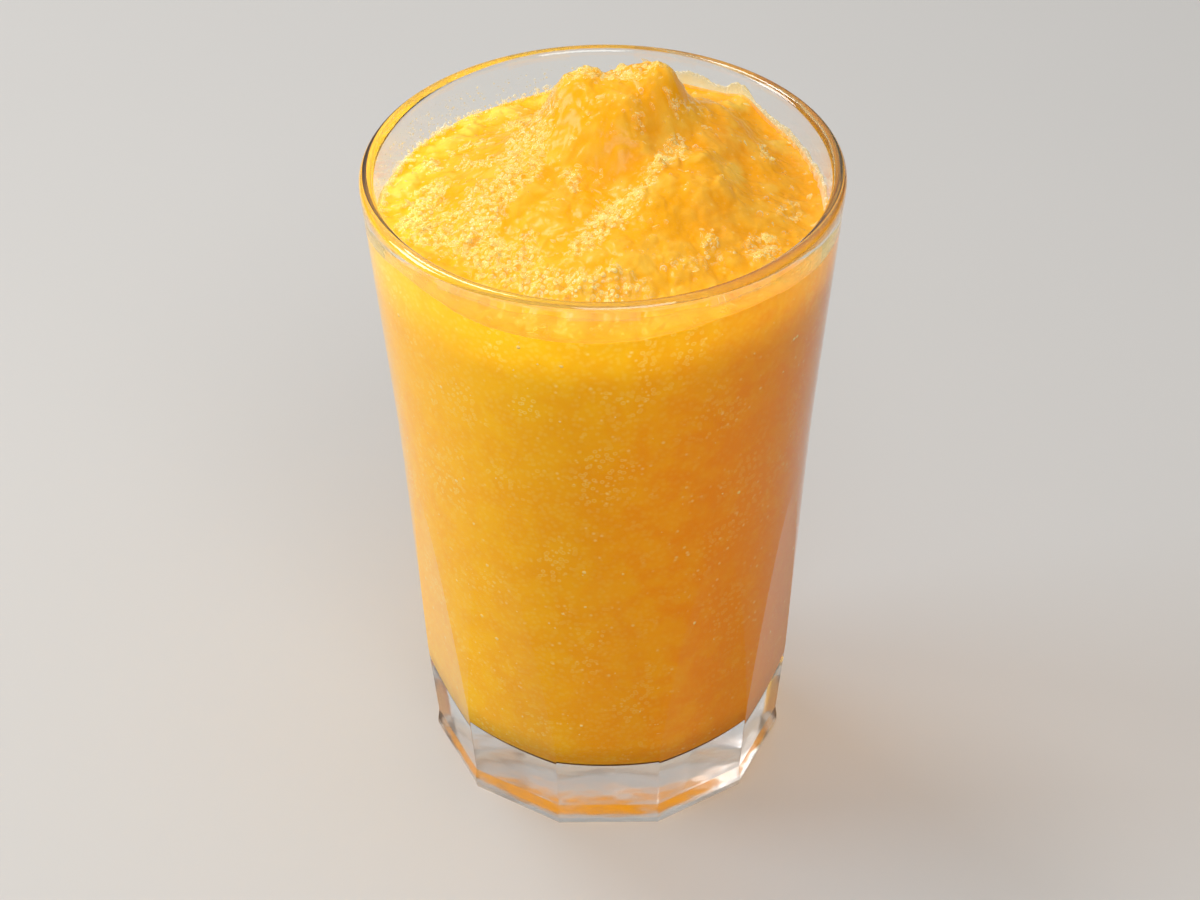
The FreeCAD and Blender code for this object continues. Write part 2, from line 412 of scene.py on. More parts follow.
def bump(tree, height, strength, distance, normal=None):
    """A bump from a height socket, laid over another normal where one is given."""
    node = add_node(tree, "ShaderNodeBump")
    node.inputs["Strength"].default_value = strength
    node.inputs["Distance"].default_value = distance
    tree.links.new(height, node.inputs["Height"])
    if normal is not None:
        tree.links.new(normal, node.inputs["Normal"])
    return node.outputs["Normal"]


def mix_shaders(tree, share, first, second):
    """Two shader nodes mixed by a socket."""
    mix = add_node(tree, "ShaderNodeMixShader")
    tree.links.new(share, mix.inputs["Fac"])
    tree.links.new(first.outputs[0], mix.inputs[1])
    tree.links.new(second.outputs[0], mix.inputs[2])
    return mix


def glass_material(name, roughness, mirror, wave_scale, wave_strength, coat=0.0):
    """Clear glass, faintly wavy from its mould, which lets the lamps light what lies behind it."""
    material, tree = new_material(name)
    waves = add_noise(tree, object_place(tree), wave_scale, 1.0)
    waved = bump(tree, waves, wave_strength, WAVE_DEPTH)
    surface = surface_of(tree, GLASS_TINT, roughness, normal=waved)
    surface.inputs["IOR"].default_value = GLASS_IOR
    surface.inputs["Specular Tint"].default_value = (mirror, mirror, mirror, 1.0)
    surface.inputs["Transmission Weight"].default_value = 1.0
    surface.inputs["Coat Weight"].default_value = coat
    clear = add_node(tree, "ShaderNodeBsdfTransparent")
    shadow = add_node(tree, "ShaderNodeLightPath").outputs["Is Shadow Ray"]
    return finished(material, mix_shaders(tree, shadow, surface, clear))


tumbler = tumbler_mesh()
tumbler.data.materials.append(glass_material("pressed_glass", 0.0, 0.12, 90.0, 0.06))
tumbler.data.materials.append(glass_material("stippled_underside", 0.14, 1.0, 180.0, 0.3))
tumbler.data.materials.append(glass_material("fire_polished_lip", 0.0, 1.0, 90.0, 0.0, coat=1.0))
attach(tumbler, "root")
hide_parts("tumbler")

# ==== Slush ====
# Crushed ice in thick fruit juice, poured to just under the lip and heaped above it. It fills the
# glass to the wall, and its top is smooth wet gel with banks of bare ice crystals on it.

INTO_WALL = 0.12 * MM
SHORE_HEIGHT = HEIGHT - 8.9 * MM
SHORE_RADIUS = cavity_radius(SHORE_HEIGHT)
SHORE_WIDTH = 7.0 * MM
# Rises of the contact line with the glass: bearing in degrees, rise, spread in degrees.
SHORE_SWELLS = [
    (64.0, 3.4 * MM, 36.0), (49.0, 1.6 * MM, 6.0), (-55.0, 1.9 * MM, 24.0), (-145.0, 2.7 * MM, 18.0),
]
# Swellings of the heap in millimetres: middle, half width, length to the front and to the back,
# rise, fullness (1 is a bell, more is flatter).
LOBES = [
    ((3.0, 4.0), 29.0, 31.0, 26.0, 8.6, 1.3),       # body of the heap
    ((2.4, 15.0), 12.6, 15.0, 10.0, 9.6, 2.4),      # crest, towards the back
    ((-5.2, 16.2), 4.6, 6.0, 5.6, 1.6, 2.6),        # left knob of the crest
    ((9.2, 16.6), 4.8, 6.0, 5.2, 1.7, 2.6),         # right knob
    ((3.4, 17.6), 2.2, 3.0, 3.0, 1.0, 1.6),         # small knob between them
    ((15.5, -2.5), 9.0, 11.0, 8.0, 2.9, 1.5),       # hump at the right
    ((6.0, -13.0), 6.0, 8.0, 8.0, 1.8, 1.0),        # its foot
    ((-17.0, -3.0), 9.0, 9.0, 9.0, 2.2, 1.0),       # left shoulder
    ((-13.0, 12.0), 5.0, 7.0, 6.0, 2.2, 1.0),       # bank under the crest
    ((0.0, -27.0), 13.0, 6.0, 8.0, 2.6, 1.0),       # front lobe
    ((20.0, 21.0), 10.0, 15.0, 12.0, 4.8, 1.1),     # right shoulder, up to the wall
]
# Dips between the swellings: middle, half width, half length, depth.
HOLLOWS = [((10.0, 5.0), 5.5, 5.0, 2.8), ((2.0, -6.0), 5.5, 7.0, 1.8), ((24.5, 2.0), 4.5, 8.0, 1.8)]
# Banks of bare crystals in millimetres: start, end, half width, how icy.
ICY_BANKS = [
    ((-33.0, -5.0), (-30.5, 3.0), 3.6, 1.0), ((-12.0, 8.0), (-20.0, -10.0), 3.4, 1.0),
    ((-22.0, 8.0), (-13.0, 5.0), 2.4, 0.8), ((-17.0, 24.0), (-14.0, 22.0), 2.2, 0.9),
    ((-31.3, 13.4), (-30.0, 12.0), 2.0, 0.9), ((-25.0, 9.5), (-23.5, 8.0), 1.8, 0.8),
    ((-30.0, -9.0), (-15.0, -22.0), 4.2, 0.9), ((-22.0, -2.0), (-26.0, -8.0), 2.2, 0.8),
    ((-13.0, 11.0), (-8.5, 17.0), 3.6, 1.0), ((-7.0, 17.0), (12.0, 18.0), 3.4, 0.7),
    ((13.5, 4.5), (5.0, -10.0), 1.7, 0.8), ((1.5, -12.0), (-3.4, -20.5), 2.3, 1.0),
    ((4.2, -12.5), (2.6, -16.5), 0.9, 0.8), ((-5.4, -1.5), (-5.2, -5.0), 1.1, 0.8),
    ((-13.4, -14.8), (-13.0, -15.2), 1.4, 0.9), ((-15.0, -26.0), (5.0, -31.0), 3.2, 0.75),
    ((12.0, -24.0), (26.0, -17.0), 2.4, 0.4), ((28.5, 13.0), (29.5, 10.5), 1.8, 0.7),
    ((33.0, -2.0), (32.0, -5.0), 2.2, 0.45), ((27.8, -13.0), (27.4, -18.0), 2.2, 0.65),
    ((18.3, -17.0), (18.0, -18.5), 1.2, 0.8), ((13.0, 10.6), (18.0, 15.5), 2.2, 0.42),
    ((-26.0, 16.0), (-20.0, 19.0), 1.2, 0.6), ((5.0, 3.0), (7.0, 9.0), 1.2, 0.35),
]
# Pale swellings, painted light on their tops where air and ice also show pale, and deep orange places,
# painted shade in the hollows, in millimetres: middle, width, strength.
PALE_PLACES = [((14.7, -0.5), 5.0, 0.8), ((24.0, 26.5), 4.5, 0.6), ((30.5, 20.5), 4.0, 0.5),
               ((-4.6, 17.5), 4.0, 0.7), ((9.8, 18.5), 4.5, 0.6), ((8.0, -7.0), 3.0, 0.5),
               ((24.0, 3.0), 2.2, 0.5), ((0.0, -29.0), 7.0, 0.3)]
SHADED_PLACES = [((9.0, 3.5), 5.5, 0.6), ((3.5, -3.5), 5.5, 0.55), ((22.5, 9.0), 5.0, 0.55),
               ((16.5, -13.0), 6.5, 0.45), ((-5.0, -10.0), 5.0, 0.25), ((6.0, 12.0), 5.0, 0.15)]
TOP_CELLS = 280
TOP_SLOT, SIDE_SLOT, FLOOR_SLOT = 0, 1, 2
FLOOR_SLOT_REACH = 0.7 * MM
SIDE_ROWS = (110 * MM, 95 * MM, KNEE_HEIGHT, 55 * MM, 35 * MM)
# What each point of the top carries for its material.
LOOKS = ("icy", "pale", "painted_shade", "crown")
# Patterns, in cells or clouds to a metre.
FLECKS = 620.0
TOP_GRAINS = 1050.0
TOP_MOTTLE = 120.0
TOP_CLOUDS = 200.0
SIDE_GRAINS = 900.0
SIDE_MOTTLE = 210.0
SIDE_PATCHES = 95.0
# Painted shade round the foot of the fill, where its underside lies in shade.
FOOT_SHADE_TOP = FLOOR_HEIGHT + 2.2 * MM
FOOT_SHADE_FADE = 0.5 * MM
# The gel's painted light and shade: sunlit tones at the left, where the lamps are, and the shaded orange
# of its right side and hollows.
SUNLIT_SIDE = (1.0, 0.565, 0.008)
SUNLIT_TOP = (1.0, 0.46, 0.003)
SHADED_ORANGE = (0.93, 0.32, 0.0004)
SHADE_BETWEEN_LUMPS = (0.95, 0.40, 0.002)
BETWEEN_GRAINS = (0.95, 0.42, 0.003)
PALE = (1.0, 0.68, 0.10)
CRYSTAL = (1.0, 0.80, 0.26)
CRYSTAL_HIGHLIGHT = (1.0, 0.90, 0.50)
SHUT_IN_RIM = (1.0, 0.78, 0.20)
FOOT_SHADE = (0.10, 0.04, 0.008)
UNDERSIDE_DARK = (0.80, 0.30, 0.004)
UNDERSIDE_LIGHT = (0.95, 0.44, 0.01)
UNDERSIDE_PAINTED_GLOW = (1.0, 0.46, 0.02)
MIRROR_TINT = (0.93, 0.92, 0.90)
SHADOW_TINT = (0.64, 0.45, 0.11)
GRAIN_DEPTH = 0.5 * MM


def held(value):
    """A value held between 0 and 1."""
    return min(1.0, max(0.0, value))


def bell(offset, length):
    """A smooth hump that is 1 at its middle and dies away over a length."""
    return math.exp(-((offset / length) ** 2))


def ridge(x, y, start, end, width):
    """A rounded ridge 1 high that follows a straight run and fades at both ends."""
    run = (end[0] - start[0], end[1] - start[1])
    length = math.hypot(*run)
    step = (x - start[0], y - start[1])
    along = (step[0] * run[0] + step[1] * run[1]) / length
    across = (step[0] * run[1] - step[1] * run[0]) / length
    return bell(math.hypot(across, max(0.0, -along, along - length)), width)


def shore_level(bearing):
    """Height of the contact line over its lowest run."""
    level = 0.0
    for swell_bearing, rise, spread in SHORE_SWELLS:
        turn = (math.degrees(bearing) - swell_bearing + 180.0) % 360.0 - 180.0
        level += rise * bell(turn, spread)
    return level


def heap(x, y):
    """The swellings and dips together, in millimetres."""
    rise = 0.0
    for middle, half_width, front, back, height, fullness in LOBES:
        length = back if y > middle[1] else front
        share = ((x - middle[0]) / half_width) ** 2 + ((y - middle[1]) / length) ** 2
        rise += height * math.exp(-(share ** fullness))
    for middle, half_width, half_length, depth in HOLLOWS:
        rise -= depth * bell((x - middle[0]) / half_width, 1.0) * bell((y - middle[1]) / half_length, 1.0)
    return rise


def main_form(x, y):
    """Height of the top without its fine relief."""
    nearness = bell(max(0.0, SHORE_RADIUS - math.hypot(x, y)), SHORE_WIDTH)
    shore = shore_level(math.atan2(y, x)) * nearness
    return SHORE_HEIGHT + shore + (1.0 - nearness) * heap(x / MM, y / MM) * MM


def iciness(x, y):
    """How much bare ice lies at a place, from 0 for smooth gel to 1 for packed crystals."""
    u, v = x / MM, y / MM
    place = Vector((u, v, 0.0))
    u += 1.8 * noise.noise(place * 0.22)
    v += 1.8 * noise.noise(place * 0.22 + Vector((5.0, 9.0, 0.0)))
    bare = max(strength * ridge(u, v, start, end, width) for start, end, width, strength in ICY_BANKS)
    broken = 0.9 + 0.9 * noise.noise(place * 0.5 + Vector((2.0, 4.0, 0.0)))
    return held(1.7 * bare * broken - 0.25)


def spots(x, y, places):
    """How strongly each of some round places shows at a place."""
    return [s * bell(math.hypot(x / MM - c[0], y / MM - c[1]), width) for c, width, s in places]


def paleness(x, y):
    """Where the top is pale: painted light on the swellings, where air and ice also show pale under the
    surface, and along the left wall.
    """
    bearing = math.degrees(math.atan2(y, x))
    along = bell(min(0.0, bearing - 100.0), 12.0) * bell(max(0.0, bearing - 165.0), 12.0)
    shelf = 0.85 * along * bell(SHORE_RADIUS - math.hypot(x, y) - 2.0 * MM, 3.4 * MM)
    return max(*spots(x, y, PALE_PLACES), shelf)


def painted_shade_at(x, y):
    """How orange the gel is in painted shade, from 0 where the light comes in at the left to 1, more in
    the hollows.
    """
    across = held((x / MM + 12.0) / 46.0)
    return across * 0.58 + 0.6 * sum(spots(x, y, SHADED_PLACES))


def grains(place, size, seed):
    """Rounded grains packed side by side, each about a size across, 1 at their tops."""
    gaps, _ = noise.voronoi(place / size + Vector((seed, seed * 2.0, 0.0)))
    least = bell(gaps[3], 0.5)
    return min(1.0, sum(bell(gap, 0.5) - least for gap in gaps[:3]))


def relief(x, y, icy, pale):
    """Lumps and crystals of the top, in metres, and how near a place is to the crown of a lump."""
    place = Vector((x, y, 0.0)) / MM
    warp = Vector((noise.noise(place * 0.25), noise.noise(place * 0.25 + Vector((9, 9, 9))), 0.0)) * 0.9
    swell = 0.45 * noise.noise(place * 0.13)
    lumps = grains(place + warp, 4.6, 3.0)
    beads = grains(place + warp, 2.3, 7.0)
    crown = 0.6 * lumps + 0.4 * beads
    rough = (lumps - 0.5) * (0.55 + 0.55 * pale + 0.30 * icy)
    rough += (beads - 0.5) * (0.22 + 0.25 * pale + 0.15 * icy)
    fines = (grains(place + warp, 1.3, 6.0) - 0.5) * (0.14 + 0.26 * icy)
    crystals = (grains(place + warp, 1.9, 8.0) - 0.5) * 0.60
    crystals += (grains(place - warp, 1.0, 5.0) - 0.5) * 0.35
    calm = 0.3 + 0.7 * held((SHORE_RADIUS - math.hypot(x, y)) / (5.0 * MM))
    return (swell + rough + fines + icy * (0.25 + crystals)) * calm * MM, crown


def disc_point(i, j):
    """A place on a round of radius 1, from a place on a square grid, evenly spread."""
    a = 2.0 * i / TOP_CELLS - 1.0
    b = 2.0 * j / TOP_CELLS - 1.0
    if a == 0.0 and b == 0.0:
        return 0.0, 0.0
    if abs(a) > abs(b):
        return abs(a), (math.pi / 4.0) * (b / a) + (math.pi if a < 0 else 0.0)
    return abs(b), math.pi / 2.0 - (math.pi / 4.0) * (a / b) + (math.pi if b < 0 else 0.0)


def slush_mesh():
    """The fill: its top on a round grid, its side down the glass, and its underside."""
    vertices, looks, index = [], [], {}
    for i in range(TOP_CELLS + 1):
        for j in range(TOP_CELLS + 1):
            share, bearing = disc_point(i, j)
            x, y, _ = around(SHORE_RADIUS * share, bearing, 0.0)
            icy, pale = iciness(x, y), paleness(x, y)
            lift, crown = relief(x, y, icy, pale)
            z = main_form(x, y) + lift
            index[i, j] = len(vertices)
            vertices.append(around(share * (cavity_radius(z) + INTO_WALL), bearing, z))
            looks.append((icy, pale, painted_shade_at(x, y), crown))
    faces = [
        (index[i, j], index[i + 1, j], index[i + 1, j + 1], index[i, j + 1])
        for i in range(TOP_CELLS) for j in range(TOP_CELLS)
    ]
    n = TOP_CELLS
    border = [index[i, 0] for i in range(n)] + [index[n, j] for j in range(n)]
    border += [index[n - i, n] for i in range(n)] + [index[0, n - j] for j in range(n)]
    top_faces = len(faces)
    bend = floor_bend(INTO_WALL)
    profile = [(cavity_radius(z) + INTO_WALL, z) for z in SIDE_ROWS] + bend[::-1]
    profile += [(bend[0][0] * share, bend[0][1]) for share in (0.66, 0.33)]
    above = border
    for radius, z in profile:
        ring = []
        for place in border:
            bearing = math.atan2(vertices[place][1], vertices[place][0])
            ring.append(len(vertices))
            vertices.append(around(radius, bearing, z))
        count = len(ring)
        faces += [(above[k], ring[k], ring[(k + 1) % count], above[(k + 1) % count]) for k in range(count)]
        above = ring
    middle = len(vertices)
    vertices.append((0.0, 0.0, bend[0][1]))
    faces += [(above[k], middle, above[(k + 1) % len(above)]) for k in range(len(above))]
    piece = mesh_object("slush_heap", vertices, faces)
    slots = [TOP_SLOT] * top_faces + [SIDE_SLOT] * (len(piece.data.polygons) - top_faces)
    for face in piece.data.polygons[top_faces:]:
        if face.center.z < FLOOR_HEIGHT + FLOOR_SLOT_REACH:
            slots[face.index] = FLOOR_SLOT
    piece.data.polygons.foreach_set("material_index", slots)
    looks += [(0.0,) * len(LOOKS)] * (len(vertices) - len(looks))
    for name, values in zip(LOOKS, zip(*looks)):
        layer = piece.data.attributes.new(name, "FLOAT", "POINT")
        layer.data.foreach_set("value", values)
    return piece


def reckon(tree, operation, first, second, clamp=True):
    """A sum, product or difference of two values, each a socket or a plain number."""
    node = add_node(tree, "ShaderNodeMath", operation=operation, use_clamp=clamp)
    feed(tree, node.inputs[0], first)
    feed(tree, node.inputs[1], second)
    return node.outputs[0]


def times(tree, first, second):
    """Product of two values, each a socket or a plain number, held between 0 and 1."""
    return reckon(tree, "MULTIPLY", first, second)


def add_cells(tree, vector, scale):
    """A pattern of packed grains: distance to the middle of the nearest grain."""
    node = add_node(tree, "ShaderNodeTexVoronoi")
    node.inputs["Scale"].default_value = scale
    tree.links.new(vector, node.inputs["Vector"])
    return node.outputs["Distance"]


def pulp_group():
    """Colour of juice with fine ice in it: painted light and shade from sunlit to shaded tones, mottling
    and pale flecks.
    """
    group = bpy.data.node_groups.new("icy_pulp", "ShaderNodeTree")
    plain, vector, colour = "NodeSocketFloat", "NodeSocketVector", "NodeSocketColor"
    for name, kind in (("Vector", vector), ("Depth", plain), ("Mottle Scale", plain), ("Mottle", plain),
                       ("Fleck Amount", plain), ("Sunlit", colour), ("Shaded", colour), ("Fleck", colour)):
        group.interface.new_socket(name=name, in_out="INPUT", socket_type=kind)
    group.interface.new_socket(name="Color", in_out="OUTPUT", socket_type=colour)
    enter = add_node(group, "NodeGroupInput")
    leave = add_node(group, "NodeGroupOutput")
    where = enter.outputs["Vector"]
    mottle = add_node(group, "ShaderNodeTexNoise")
    mottle.inputs["Detail"].default_value = 4.0
    group.links.new(where, mottle.inputs["Vector"])
    group.links.new(enter.outputs["Mottle Scale"], mottle.inputs["Scale"])
    clouds = remap(group, mottle.outputs["Fac"], 0.3, 0.7, -1.0, 1.0)
    sway = reckon(group, "MULTIPLY", clouds, enter.outputs["Mottle"], clamp=False)
    tone = reckon(group, "ADD", enter.outputs["Depth"], sway)
    base = blend_colour(group, tone, enter.outputs["Sunlit"], enter.outputs["Shaded"])
    near = remap(group, add_cells(group, where, FLECKS), 0.08, 0.30, 1.0, 0.0)
    sparse = remap(group, add_noise(group, where, 260.0, 2.0), 0.52, 0.66)
    share = times(group, times(group, near, sparse), enter.outputs["Fleck Amount"])
    flecked = blend_colour(group, share, base, enter.outputs["Fleck"])
    group.links.new(flecked, leave.inputs["Color"])
    return group


PULP = pulp_group()


def place_pulp(tree, where, depth, sunlit, mottle_scale, mottle, fleck_amount):
    """The pulp group with its values, and its colour socket."""
    pulp = add_node(tree, "ShaderNodeGroup", node_tree=PULP)
    for name, value in (("Vector", where), ("Depth", depth), ("Sunlit", sunlit), ("Shaded", SHADED_ORANGE),
                        ("Fleck", CRYSTAL), ("Mottle Scale", mottle_scale), ("Mottle", mottle),
                        ("Fleck Amount", fleck_amount)):
        feed(tree, pulp.inputs[name], value)
    return pulp.outputs["Color"]


def stirred(tree, where, scale, amount):
    """Places pushed about by noise, so that patterns laid on them bend."""
    swirl = add_node(tree, "ShaderNodeTexNoise")
    swirl.inputs["Scale"].default_value = scale
    tree.links.new(where, swirl.inputs["Vector"])
    push = add_node(tree, "ShaderNodeVectorMath", operation="SCALE")
    tree.links.new(swirl.outputs["Color"], push.inputs[0])
    push.inputs["Scale"].default_value = amount
    moved = add_node(tree, "ShaderNodeVectorMath", operation="ADD")
    tree.links.new(where, moved.inputs[0])
    tree.links.new(push.outputs["Vector"], moved.inputs[1])
    return moved.outputs["Vector"]


def rims_of(tree, cells, start, crest, end):
    """A thin line round each grain, between two distances from its middle."""
    return times(tree, remap(tree, cells, start, crest), remap(tree, cells, crest, end, 1.0, 0.0))


def top_material():
    """Wet gel, painted lighter at the left and shaded towards the right: orange between the lumps and pale
    on their crowns as painted shade and light, with bright grains, ringed with painted highlights, where
    it is icy.
    """
    material, tree = new_material("slush_top")
    where = object_place(tree)
    carried = [add_node(tree, "ShaderNodeAttribute", attribute_name=name) for name in LOOKS]
    icy, pale, painted_shade, crown = (node.outputs["Fac"] for node in carried)
    bent = stirred(tree, where, 420.0, GRAIN_DEPTH)
    fine = add_cells(tree, bent, TOP_GRAINS)
    # Painted light and shade: the sunlit tone at the left, shaded orange to the right and in the hollows.
    colour = place_pulp(tree, where, painted_shade, SUNLIT_TOP, TOP_MOTTLE, 0.08, 0.35)
    clouds = remap(tree, add_noise(tree, bent, TOP_CLOUDS, 2.0), 0.45, 0.70, 0.0, 0.28)
    colour = blend_colour(tree, clouds, colour, PALE)
    # Painted light on the lump crowns, strongest on the pale swellings, and painted shade between the
    # lumps.
    crown_light = remap(tree, pale, 0.0, 1.0, 0.20, 0.95, smooth=False)
    colour = blend_colour(tree, times(tree, remap(tree, crown, 0.25, 0.85), crown_light), colour, PALE)
    colour = blend_colour(tree, remap(tree, crown, 0.0, 0.40, 0.40, 0.0), colour, SHADE_BETWEEN_LUMPS)
    gaps = times(tree, remap(tree, fine, 0.30, 0.75), remap(tree, icy, 0.0, 0.7, 0.0, 0.35))
    colour = blend_colour(tree, gaps, colour, BETWEEN_GRAINS)
    facets = times(tree, remap(tree, icy, 0.0, 1.0, 0.0, 0.70), remap(tree, fine, 0.10, 0.55, 1.0, 0.10))
    colour = blend_colour(tree, facets, colour, CRYSTAL)
    # Painted highlights: a bright line round each grain, strongest where it is icy.
    rim_highlights = times(tree, remap(tree, icy, 0.0, 0.8, 0.04, 1.0), rims_of(tree, fine, 0.28, 0.36, 0.44))
    colour = blend_colour(tree, rim_highlights, colour, CRYSTAL_HIGHLIGHT)
    film = bump(tree, add_noise(tree, where, 600.0, 1.0), 0.20, WAVE_DEPTH)
    packing = times(tree, icy, remap(tree, fine, 0.0, 0.7, 1.0, 0.0))
    packed = bump(tree, packing, 0.5, GRAIN_DEPTH, film)
    surface = surface_of(tree, colour, remap(tree, icy, 0.0, 0.6, 0.20, 0.08), 0.2, packed)
    return finished(material, surface)


def let_light_through(tree, shader):
    """A shader for thick juice, through which some amber light of the lamps still comes."""
    glow = add_node(tree, "ShaderNodeBsdfTransparent")
    glow.inputs["Color"].default_value = (*SHADOW_TINT, 1.0)
    shadow = add_node(tree, "ShaderNodeLightPath").outputs["Is Shadow Ray"]
    return mix_shaders(tree, shadow, shader, glow)


def side_material():
    """Gel against the glass: painted light at the left and near the top and painted shade to the right,
    speckled with shut-in ice, and a painted dark line of shade at its foot.
    """
    material, tree = new_material("slush_side")
    where = object_place(tree)
    split = add_node(tree, "ShaderNodeSeparateXYZ")
    tree.links.new(where, split.inputs[0])
    # Painted light and shade: lighter at the left, where the lamps are, and near the top, shaded to the
    # right and lower down.
    across = remap(tree, split.outputs["X"], -25 * MM, 25 * MM, smooth=False)
    down = remap(tree, split.outputs["Z"], 120 * MM, 85 * MM, -0.25, 0.08)
    depth = reckon(tree, "ADD", across, down)
    colour = place_pulp(tree, where, depth, SUNLIT_SIDE, SIDE_MOTTLE, 0.14, 0.5)
    fine = add_cells(tree, stirred(tree, where, 300.0, 0.6 * MM), SIDE_GRAINS)
    # Pale flecks painted stronger on the lit side, as painted light.
    sunny = times(tree, remap(tree, depth, 0.1, 0.9, 0.30, 0.10), remap(tree, fine, 0.12, 0.6, 1.0, 0.0))
    colour = blend_colour(tree, sunny, colour, PALE)
    patches = remap(tree, add_noise(tree, where, SIDE_PATCHES, 3.0), 0.50, 0.64)
    speckled = times(tree, patches, rims_of(tree, fine, 0.24, 0.32, 0.42))
    speckled = times(tree, speckled, remap(tree, depth, 0.0, 1.0, 0.72, 0.26))
    colour = blend_colour(tree, speckled, colour, SHUT_IN_RIM)
    # Painted shade: a dark line round the foot, where the fill's underside lies in shade.
    foot = remap(tree, split.outputs["Z"], FOOT_SHADE_TOP, FOOT_SHADE_TOP + FOOT_SHADE_FADE, 1.0, 0.0)
    colour = blend_colour(tree, times(tree, foot, 0.95), colour, FOOT_SHADE)
    uneven = bump(tree, add_noise(tree, where, 420.0, 3.0), 0.25, WAVE_DEPTH)
    surface = surface_of(tree, colour, 0.6, 0.0, uneven)
    return finished(material, let_light_through(tree, surface))


def facing(tree):
    """How far the surface turns from the eye: 0 face on, 1 edge on."""
    node = add_node(tree, "ShaderNodeLayerWeight")
    node.inputs["Blend"].default_value = 0.5
    return node.outputs["Facing"]


def underside_material():
    """The fill's underside, which mirrors at a low angle, as where thick glass meets juice, and glows
    faintly amber as painted light.
    """
    material, tree = new_material("slush_underside")
    shade = add_noise(tree, object_place(tree), 240.0)
    surface = surface_of(tree, blend_colour(tree, shade, UNDERSIDE_DARK, UNDERSIDE_LIGHT), 0.6, 0.0)
    # Painted light: a faint amber glow, as if lamp light came through the juice.
    surface.inputs["Emission Color"].default_value = (*UNDERSIDE_PAINTED_GLOW, 1.0)
    surface.inputs["Emission Strength"].default_value = 0.35
    mirror = add_node(tree, "ShaderNodeBsdfGlossy")
    mirror.inputs["Roughness"].default_value = 0.04
    mirror.inputs["Color"].default_value = (*MIRROR_TINT, 1.0)
    low_angle = remap(tree, facing(tree), 0.36, 0.50)
    return finished(material, let_light_through(tree, mix_shaders(tree, low_angle, surface, mirror)))


slush = slush_mesh()
slush.data.materials.append(top_material())
slush.data.materials.append(side_material())
slush.data.materials.append(underside_material())
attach(slush, "root")
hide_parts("slush")

# ==== Loose ice ====
# Rounded grains and thin flakes of ice, half a millimetre to two millimetres across, that lie
# half sunk in the icy banks. They are clear, stained yellow by the juice, and pale at their rims.

GRAIN_COUNT = 2600
GRAIN_SIZES = (0.20 * MM, 0.70 * MM)
GRAIN_SHAPE = ((0.8, 1.5), (0.7, 1.0), (0.5, 0.8))
GRAIN_TILT = 0.6
GRAIN_STRAY = 0.03
GRAIN_RIM = (1.0, 0.84, 0.32)
FLAKE_COUNT = 2200
FLAKE_SIZES = (0.30 * MM, 0.85 * MM)
FLAKE_SHAPE = ((1.1, 1.8), (0.7, 1.1), (0.16, 0.28))
FLAKE_TILT = 0.5
FLAKE_STRAY = 0.05
FLAKE_RIM = (1.0, 0.86, 0.36)
ICE_BODY = (1.0, 0.99, 0.93)
CLEAR_OF_WALL = 1.0 * MM
draw = random.Random(41)


def wet_ice(name, rim, middle, least, most, roughness):
    """Wet ice or a bubble: see-through in the middle, where it is looked into, pale at its rim."""
    material, tree = new_material(name)
    where = object_place(tree)
    body = add_node(tree, "ShaderNodeBsdfTransparent")
    body.inputs["Color"].default_value = (*middle, 1.0)
    stain = remap(tree, add_noise(tree, where, 600.0), 0.35, 0.65, 0.0, 0.6)
    dents = bump(tree, add_noise(tree, where, 900.0, 1.0), 0.4, WAVE_DEPTH)
    surface = surface_of(tree, blend_colour(tree, stain, rim, CRYSTAL), roughness, 0.8, dents)
    edge = remap(tree, facing(tree), 0.25, 0.80, least, most)
    shadow = add_node(tree, "ShaderNodeLightPath").outputs["Is Shadow Ray"]
    share = reckon(tree, "SUBTRACT", edge, shadow)
    return finished(material, mix_shaders(tree, share, body, surface))


def unit_ball(divisions):
    """Points and faces of a ball of radius 1, from an icosahedron."""
    work = bmesh.new()
    bmesh.ops.create_icosphere(work, subdivisions=divisions, radius=1.0)
    points = [v.co.copy() for v in work.verts]
    faces = [tuple(v.index for v in f.verts) for f in work.faces]
    work.free()
    return points, faces


def top_point(x, y):
    """The surface of the heap at a place, with its relief."""
    return Vector((x, y, main_form(x, y) + relief(x, y, iciness(x, y), paleness(x, y))[0]))


def top_normal(x, y):
    """Outward direction of the heap's surface at a place."""
    step = 0.4 * MM
    east = top_point(x + step, y) - top_point(x - step, y)
    north = top_point(x, y + step) - top_point(x, y - step)
    return east.cross(north).normalized()


def random_place(reach):
    """A random place on the heap, as likely anywhere within a reach: x, y, distance from the axis."""
    radius, bearing = reach * math.sqrt(draw.random()), draw.uniform(0.0, 2.0 * math.pi)
    x, y, _ = around(radius, bearing, 0.0)
    return x, y, radius


